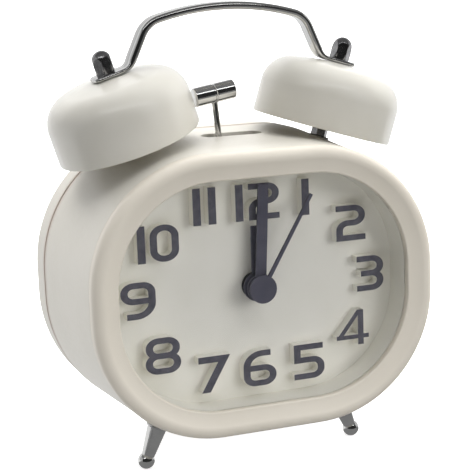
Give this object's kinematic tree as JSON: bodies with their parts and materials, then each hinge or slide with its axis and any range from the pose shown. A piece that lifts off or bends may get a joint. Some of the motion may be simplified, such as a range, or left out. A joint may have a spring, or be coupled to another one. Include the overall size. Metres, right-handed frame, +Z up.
{
  "type": "twin bell alarm clock",
  "caption": "Leaning bell alarm clock with a rounded plastic case, raised dial numerals, a motor-driven hammer between tilted bells, a strap carry handle and short feet.",
  "frame": {"origin": "on the table under the middle of the overall box", "axes": "+Z up, the dial faces -Y, +X to the right of someone reading the dial"},
  "size_m": [0.1134, 0.0734, 0.1386],
  "materials": {
    "ivory_plastic": "satin moulded",
    "window": "clear polished",
    "dial_plastic": "fine matt",
    "numeral_print": "dark printed faces",
    "hand_paint": "matt paint",
    "brass_arbor": "turned",
    "black_plastic": "moulded",
    "bell_paint": "gloss enamel",
    "bright_chrome": "polished plate",
    "dark_chrome": "dark plate",
    "plain_steel": "plain zinc",
    "white_plastic": "moulded",
    "cell_jacket": "plain jacket"
  },
  "bodies": {
    "clock_body": {"front_bezel": "ivory_plastic", "case_shell": "ivory_plastic", "rear_cover": "ivory_plastic", "lens": "window", "dial_tray": "dial_plastic", "hour_numerals": "numeral_print", "movement_case": "black_plastic", "movement_cover": "black_plastic", "movement_screws": "plain_steel", "left_bell": "bell_paint", "right_bell": "bell_paint", "bell_posts": "dark_chrome", "bell_spacers": "dark_chrome", "post_washers": "dark_chrome", "post_nuts": "plain_steel", "dome_nuts": "dark_chrome", "carry_handle": "bright_chrome", "pivot_pin": "plain_steel", "pivot_clip": "plain_steel", "motor_bracket": "plain_steel", "bracket_screws": "plain_steel", "bell_motor": "plain_steel", "motor_screws": "plain_steel", "battery_cell": "cell_jacket", "contact_plus": "plain_steel", "contact_minus": "plain_steel", "switch_body": "black_plastic", "left_foot": "bright_chrome", "right_foot": "bright_chrome", "foot_nuts": "plain_steel", "rear_foot": "ivory_plastic", "cover_screws": "plain_steel"},
    "time_setter": {"time_stem": "plain_steel", "time_knob": "black_plastic"},
    "alarm_setter": {"alarm_stem": "plain_steel", "alarm_knob": "black_plastic"},
    "minute_group": {"minute_hand": "hand_paint", "minute_arbor": "brass_arbor"},
    "hour_group": {"hour_hand": "hand_paint", "hour_arbor": "brass_arbor"},
    "second_group": {"second_hand": "hand_paint", "second_arbor": "brass_arbor"},
    "alarm_group": {"alarm_hand": "hand_paint", "alarm_arbor": "brass_arbor"},
    "hammer": {"hammer_head": "bright_chrome", "hammer_rod": "bright_chrome", "hammer_lever": "black_plastic"},
    "crank": {"motor_crank": "white_plastic", "motor_shaft": "plain_steel"},
    "alarm_switch": {"switch_slider": "black_plastic"},
    "door": {"battery_door": "ivory_plastic"}
  },
  "joints": [
    {"name": "time_set_turn", "type": "hinge", "parent": "clock_body", "child": "time_setter", "pos_m": [-0.019, 0.02897, 0.07094], "axis": [0, 0.9951, -0.0993], "continuous": true},
    {"name": "minute_turn", "type": "hinge", "parent": "clock_body", "child": "minute_group", "pos_m": [0, -0.02476, 0.0562], "axis": [0, 0.9951, -0.0993], "continuous": true},
    {"name": "hour_turn", "type": "hinge", "parent": "clock_body", "child": "hour_group", "pos_m": [0, -0.02476, 0.0562], "axis": [0, 0.9951, -0.0993], "continuous": true},
    {"name": "second_turn", "type": "hinge", "parent": "clock_body", "child": "second_group", "pos_m": [0, -0.02476, 0.0562], "axis": [0, 0.9951, -0.0993], "continuous": true},
    {"name": "alarm_set_turn", "type": "hinge", "parent": "clock_body", "child": "alarm_setter", "pos_m": [0.019, 0.02897, 0.07094], "axis": [0, 0.9951, -0.0993], "continuous": true},
    {"name": "alarm_turn", "type": "hinge", "parent": "clock_body", "child": "alarm_group", "pos_m": [0, -0.02476, 0.0562], "axis": [0, 0.9951, -0.0993], "continuous": true},
    {"name": "hammer_swing", "type": "hinge", "parent": "clock_body", "child": "hammer", "pos_m": [-0.00034, 0.00032, 0.06375], "axis": [0, 0.9951, -0.0993], "range_deg": [-0.95, 10.45]},
    {"name": "crank_turn", "type": "hinge", "parent": "clock_body", "child": "crank", "pos_m": [-0.00039, 0.00649, 0.04705], "axis": [0, 0.9951, -0.0993], "continuous": true},
    {"name": "alarm_switch_slide", "type": "slide", "parent": "clock_body", "child": "alarm_switch", "axis": [1, 0, 0], "range_m": [0, 0.004]},
    {"name": "battery_door_hinge", "type": "hinge", "parent": "clock_body", "child": "door", "pos_m": [0, 0.02467, 0.01981], "axis": [-1, 0, 0], "range_deg": [0, 80]}
  ],
  "couplings": [
    {"joint": "minute_turn", "follows": "time_set_turn", "ratio": -0.5},
    {"joint": "hour_turn", "follows": "time_set_turn", "ratio": -0.041667},
    {"joint": "alarm_turn", "follows": "alarm_set_turn", "ratio": -0.25}
  ]
}
